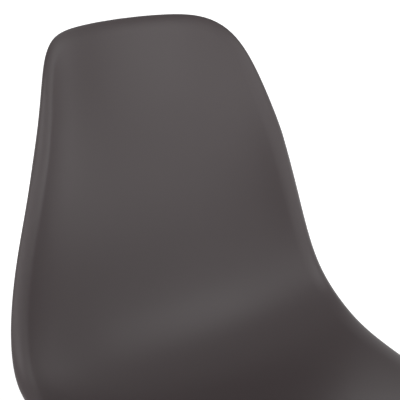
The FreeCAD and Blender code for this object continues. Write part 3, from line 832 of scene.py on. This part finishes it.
class CHAIR_OT_shell(bpy.types.Operator):
    """Build the moulded shell with its bosses and ribs"""

    bl_idname = "chair.shell"
    bl_label = "Moulded Shell"

    def execute(self, context):
        form = ShellForm(settings().shell)
        base = settings().base
        plastic = moulded_polypropylene()
        finish_piece("shell", shell_mesh(form), plastic, math.radians(60), ["seat_shell"])
        supports = bmesh.new()
        corners = [Vector((x * base.mount_x, y * base.mount_y, 0)) for x, y in SIDES.values()]
        for corner in corners:
            join(supports, boss_mesh(form, corner.x, corner.y, base.mount_height))
        lowest = base.mount_height + form.sizes.rib_setback
        for i, corner in enumerate(corners):
            join(supports, rib_mesh(form, corners[i - 1], corner, lowest))
        finish_piece("seat_bosses", supports, plastic, math.radians(50))
        return {"FINISHED"}


class CHAIR_OT_legs(bpy.types.Operator):
    """Build the turned beech legs and their glides"""

    bl_idname = "chair.legs"
    bl_label = "Beech Legs"

    def execute(self, context):
        for side in SIDES:
            beech = lacquered_beech(side, leg_frame(side))
            rounded_copy("turned_leg_" + side, ["leg_" + side], beech, 0.35 * MM)
        rounded_copy("glides", ["leg_glides"], moulded_nylon(), 0.6 * MM)
        return {"FINISHED"}


# A weld's section in millimetres: how far outside the wire, and how high over the plate.
WELD_SECTION = ((-0.8, 2.2), (0.2, 2.1), (1.2, 1.6), (1.9, 0.8), (2.2, -0.6), (-0.8, -0.6))
WELD_POINTS = 32


def weld_mesh(axis, plate_normal, at, wire):
    """A bead of weld, slightly rippled, round a wire where it meets a plate."""
    side = axis.cross(plate_normal).normalized()
    other = axis.cross(side)
    slant = axis.dot(plate_normal)
    rows = []
    for out, height in WELD_SECTION:
        row = []
        for k in range(WELD_POINTS):
            turn = math.tau * k / WELD_POINTS
            ripple = 1 + 0.10 * math.sin(6 * turn)
            radius = wire + out * (ripple if out > 0 else 1) * MM
            spoke = (side * math.cos(turn) + other * math.sin(turn)) * radius
            lift = (height * ripple * MM - spoke.dot(plate_normal)) / slant
            row.append(at + spoke + axis * lift)
        rows.append(row)
    return extrude_rings(rows)


def wire_welds(low_side, high_side, inwards):
    """The welds of the wire from low on one leg to high on the next: place, axis and plate."""
    base = settings().base
    flat = base.leg_flat + base.strap
    low_leg, high_leg = leg_frame(low_side), leg_frame(high_side)
    toward = high_leg.translation - low_leg.translation
    sign = 1 if (low_leg.to_3x3() @ Vector((0, 1, 0))).dot(toward) > 0 else -1
    step = sign * base.wire_step
    low = low_leg @ Vector((-flat, step, base.lower_bolt - base.lug))
    high = high_leg @ Vector((-flat, -step, upper_bolt_at() - base.wire_drop))
    outside = (low_leg.translation + high_leg.translation).normalized()
    # Crossing wires lie side by side, each 0.05 mm clear of the middle.
    moved = outside * (-inwards * (base.wire + 0.05 * MM))
    for leg, end, other in ((low_leg, low, high), (high_leg, high, low)):
        normal = leg.to_3x3() @ Vector((-1, 0, 0))
        axis = (other - end).normalized()
        at = end + moved
        at -= axis * (moved.dot(normal) / axis.dot(normal))
        yield at, axis, normal


class CHAIR_OT_steel_base(bpy.types.Operator):
    """Build the bent straps, lugs, crossing wires and welds"""

    bl_idname = "chair.steel_base"
    bl_label = "Steel Base"

    def execute(self, context):
        coat = black_powder_coat()
        for side in SIDES:
            rounded_copy("strap_" + side, ["leg_bracket_" + side], coat, 0.5 * MM)
        rounded_copy("lugs", ["leg_lugs"], coat, 0.5 * MM)
        welds = bmesh.new()
        legs = list(SIDES)
        for i, face in enumerate(("right", "rear", "left", "front")):
            pair = [f"wire_{face}_outer", f"wire_{face}_inner"]
            rounded_copy("wires_" + face, pair, coat, 0.3 * MM)
            leg, following = legs[i], legs[(i + 1) % 4]
            for low_side, high_side, inwards in ((leg, following, -1), (following, leg, 1)):
                for at, axis, plate in wire_welds(low_side, high_side, inwards):
                    join(welds, weld_mesh(axis, plate, at, settings().base.wire))
        finish_piece("welds", welds, coat, math.radians(60))
        return {"FINISHED"}


# Points round a screw or a nut.
ROUND = 48
# The M6 thread, drawn over the last 10 mm of a screw, with two rings to a turn.
PITCH = 1 * MM
THREAD_DEPTH = 0.5 * MM
THREADED = 10 * MM
THREAD_RINGS = 18
# Rings of a screw's domed head.
DOME_RINGS = 8
# The turn at which each screw and nut came to rest.
LEG_TWISTS = (0.7, 1.8, 2.9, 4.0)
SEAT_TWISTS = (0.3, 1.6, 2.9, 4.2)


def ring(radius, height):
    return [around(k / ROUND, radius) + UP * height for k in range(ROUND)]


def hex_ring(flat, height, largest=1.0):
    """A hexagon by the distance to its flats, its corners cut back to a circle."""
    points = []
    for k in range(ROUND):
        turn = math.radians(k / ROUND * 360 % 60 - 30)
        points.append(around(k / ROUND, min(flat / math.cos(turn), largest)) + UP * height)
    return points


def screw_mesh(long):
    """A button-head screw with a hex socket and a thread, its head's underside at the origin."""
    base = settings().base
    head, tall, shank = base.screw_head, base.screw_head_height, base.screw
    socket, deep = 0.5 * base.hex_socket, tall - base.hex_depth
    # The head's flat top round the socket, and its straight rim.
    flat, rim = socket + 0.7 * MM, 0.5 * MM
    rows = [
        hex_ring(socket, deep),
        hex_ring(socket, tall - 0.2 * MM),
        hex_ring(socket + 0.3 * MM, tall, 0.92 * head),
        ring(flat, tall),
    ]
    for i in range(1, DOME_RINGS + 1):
        turn = 0.5 * math.pi * i / DOME_RINGS
        radius = flat + (head - flat) * math.sin(turn)
        rows.append(ring(radius, rim + (tall - rim) * math.cos(turn)))
    rows += [ring(head - 0.1 * MM, 0.1 * MM), ring(head - 0.4 * MM, 0.0)]
    rows += [ring(shank, 0.0), ring(shank, THREADED - long)]
    for i in range(THREAD_RINGS):
        radius = shank if i % 2 else shank - THREAD_DEPTH
        rows.append(ring(radius, THREADED - 0.3 * MM - 0.5 * PITCH * i - long))
    rows.append(ring(shank - 0.8 * MM, -long))
    return extrude_rings(rows, UP * deep, UP * -long)


def nut_mesh():
    """A hexagon nut with cut corners and a countersunk bore, standing on the origin."""
    base = settings().base
    flat, tall, bore = 0.5 * base.nut_width, base.nut_height, base.screw
    full = flat / math.cos(math.radians(30))
    cut = 0.6 * MM
    return extrude_rings([
        hex_ring(flat, 0.0, 0.93 * full),
        hex_ring(flat, cut, full),
        hex_ring(flat, tall - cut, full),
        hex_ring(flat, tall, 0.93 * full),
        ring(bore + cut, tall),
        ring(bore, tall - cut),
        ring(bore, cut),
        ring(bore + cut, 0.0),
    ])


class CHAIR_OT_fasteners(bpy.types.Operator):
    """Build the screws, nuts, threaded inserts and pads"""

    bl_idname = "chair.fasteners"
    bl_label = "Fasteners"

    def execute(self, context):
        base = settings().base
        oxide = black_oxide_steel()
        steel, crease = "screw_steel", math.radians(35)
        flat = base.leg_flat + base.strap
        nuts = bmesh.new()
        for span, height in (("upper", upper_bolt_at()), ("lower", base.lower_bolt)):
            screws = bmesh.new()
            for side, twist in zip(SIDES, LEG_TWISTS):
                for start, turn, bm, target in (
                    (base.leg_spot, 90, screw_mesh(base.leg_screw), screws),
                    (-flat, -90, nut_mesh(), nuts),
                ):
                    place = leg_frame(side) @ Matrix.Translation((start, 0, height))
                    place @= Matrix.Rotation(math.radians(turn), 4, "Y")
                    join(target, bm, place @ Matrix.Rotation(twist, 4, "Z"))
            replaced = [span + "_leg_screws"]
            finish_piece(span + "_screws", screws, oxide, crease, replaced)
        finish_piece("nuts", nuts, oxide, math.radians(25), ["leg_nuts"])
        screws = bmesh.new()
        under = Matrix.Translation((0, 0, base.mount_height - base.pad - base.strap))
        under @= Matrix.Rotation(math.pi, 4, "X")
        for side, twist in zip(SIDES, SEAT_TWISTS):
            place = mount_frame(side) @ under @ Matrix.Rotation(twist, 4, "Z")
            join(screws, screw_mesh(base.seat_screw), place)
        finish_piece("under_seat_screws", screws, oxide, crease, ["seat_screws"])
        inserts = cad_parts["threaded_inserts"].data
        inserts.materials.clear()
        inserts.materials.append(turned_brass())
        rounded_copy("pads", ["mount_pads"], moulded_rubber(), 1.2 * MM)
        return {"FINISHED"}


# The studio.

# Soft boxes: name, degrees to the right of the front, degrees up, watts.
LAMPS = (
    ("left_low", -30, 5, 10.9),
    ("front_low", 0, 5, 3.8),
    ("right_low", 30, 5, 3.2),
    ("far_right_low", 90, 5, 7.4),
    ("far_left_high", -90, 25, 22.0),
    ("front_high", 0, 25, 8.6),
    ("right_high", 30, 25, 12.4),
    ("behind_right_high", 117, 45, 2.0),
)
LAMP_SIZE = 1.5
LAMP_DISTANCE = 2.6
LAMPS_AIM = Vector((0, 0.1, 0.6))
# Levels of the room: as light on the chair, and in reflections in front and above.
ROOM_LIGHT = 0.56
ROOM_REFLECTED = 0.42
# What is left of the white wall behind, towards the ceiling.
WALL_TOP = 0.2
FLOOR_RADIUS = 14
LENS = 134.6
CAMERA_AT = Vector((-1.0257, -1.1528, 1.1440))
CAMERA_AIM = Vector((0.0107, 0.1107, 0.6439))


def aim(name, data, location, target):
    """Put a lamp or the camera in its place, looking at its target."""
    item = bpy.data.objects.new(name, data)
    item.location = location
    item.rotation_mode = "QUATERNION"
    item.rotation_quaternion = (target - location).to_track_quat("-Z", "Y")
    bpy.context.scene.collection.objects.link(item)
    return item


def studio_floor():
    bm = bmesh.new()
    bmesh.ops.create_circle(bm, cap_ends=True, segments=96, radius=FLOOR_RADIUS)
    mesh = bpy.data.meshes.new("floor")
    bm.to_mesh(mesh)
    bm.free()
    mesh.materials.append(painted_floor())
    floor = bpy.data.objects.new("floor", mesh)
    bpy.context.scene.collection.objects.link(floor)


def studio_room():
    """A world that the camera sees as white; reflections see a dimmer room in front and above."""
    world = bpy.data.worlds.new("studio")
    bpy.context.scene.world = world
    world.use_nodes = True
    tree = world.node_tree
    tree.nodes.clear()
    smooth = {"interpolation_type": "SMOOTHSTEP"}
    path = add(tree, "LightPath").outputs
    # The wall behind sets in round the sides and ends well below the zenith.
    toward = add(tree, "SeparateXYZ", {"Vector": add(tree, "TexCoord").outputs["Generated"]})
    behind = {"Value": toward.outputs["Y"], "From Min": -0.3, "From Max": 0.3}
    behind = add(tree, "MapRange", behind, **smooth)
    low = {"Value": toward.outputs["Z"], "From Min": 0.35, "From Max": 0.75}
    low = add(tree, "MapRange", {**low, "To Min": 1.0, "To Max": WALL_TOP}, **smooth)
    wall = add(tree, "Math", {0: behind, 1: low}, operation="MULTIPLY")
    reflected = add(tree, "MapRange", {"Value": wall, "To Min": ROOM_REFLECTED})
    level = {"Factor": path["Is Glossy Ray"], "A": ROOM_LIGHT, "B": reflected}
    seen = {0: path["Is Camera Ray"], 1: path["Is Transmission Ray"]}
    seen = add(tree, "Math", seen, operation="MAXIMUM")
    level = add(tree, "Mix", {"Factor": seen, "A": add(tree, "Mix", level), "B": 1.0})
    white = add(tree, "Background", {"Color": (1, 1, 1, 1), "Strength": level})
    add(tree, "OutputWorld", {"Surface": white})


def studio_lamps():
    for name, aside, up, power in LAMPS:
        light = bpy.data.lights.new(name, "AREA")
        light.shape = "SQUARE"
        light.size = LAMP_SIZE
        light.energy = power
        aside, up = math.radians(aside), math.radians(up)
        level = Vector((math.sin(aside), -math.cos(aside), 0)) * math.cos(up)
        away = level + UP * math.sin(up)
        aim(name, light, LAMPS_AIM + away * LAMP_DISTANCE, LAMPS_AIM)


def studio_camera():
    scene = bpy.context.scene
    data = bpy.data.cameras.new("camera")
    data.lens = LENS
    data.sensor_width = 36
    scene.camera = aim("camera", data, CAMERA_AT, CAMERA_AIM)
    scene.view_settings.view_transform = "Standard"


class CHAIR_OT_studio(bpy.types.Operator):
    """Build the floor, the soft lamps, the surroundings and the camera"""

    bl_idname = "chair.studio"
    bl_label = "Studio"

    def execute(self, context):
        studio_floor()
        studio_room()
        studio_lamps()
        studio_camera()
        return {"FINISHED"}


class CHAIR_PT_panel(bpy.types.Panel):
    """Sizes, colours and build steps of the chair"""

    bl_idname = "CHAIR_PT_panel"
    bl_label = "Shell Chair"
    bl_space_type = "VIEW_3D"
    bl_region_type = "UI"
    bl_category = "Chair"

    def draw(self, context):
        chair = context.scene.shell_chair
        groups = (("Shell", chair.shell), ("Base", chair.base), ("Colours", chair.finishes))
        for heading, group in groups:
            box = self.layout.box()
            box.label(text=heading)
            for name in group.__annotations__:
                box.prop(group, name)
        for operator in OPERATORS:
            self.layout.operator(operator.bl_idname)


OPERATORS = (
    CHAIR_OT_shell, CHAIR_OT_legs, CHAIR_OT_steel_base, CHAIR_OT_fasteners, CHAIR_OT_studio
)
CLASSES = (ShellSizes, BaseSizes, Finishes, ChairSettings, *OPERATORS, CHAIR_PT_panel)


def register():
    for item in CLASSES:
        bpy.utils.register_class(item)
    bpy.types.Scene.shell_chair = PointerProperty(type=ChairSettings)


def unregister():
    del bpy.types.Scene.shell_chair
    for item in reversed(CLASSES):
        bpy.utils.unregister_class(item)


def main():
    register()
    bpy.ops.chair.shell()
    bpy.ops.chair.legs()
    bpy.ops.chair.steel_base()
    bpy.ops.chair.fasteners()
    bpy.ops.chair.studio()


if __name__ == "__main__":
    main()
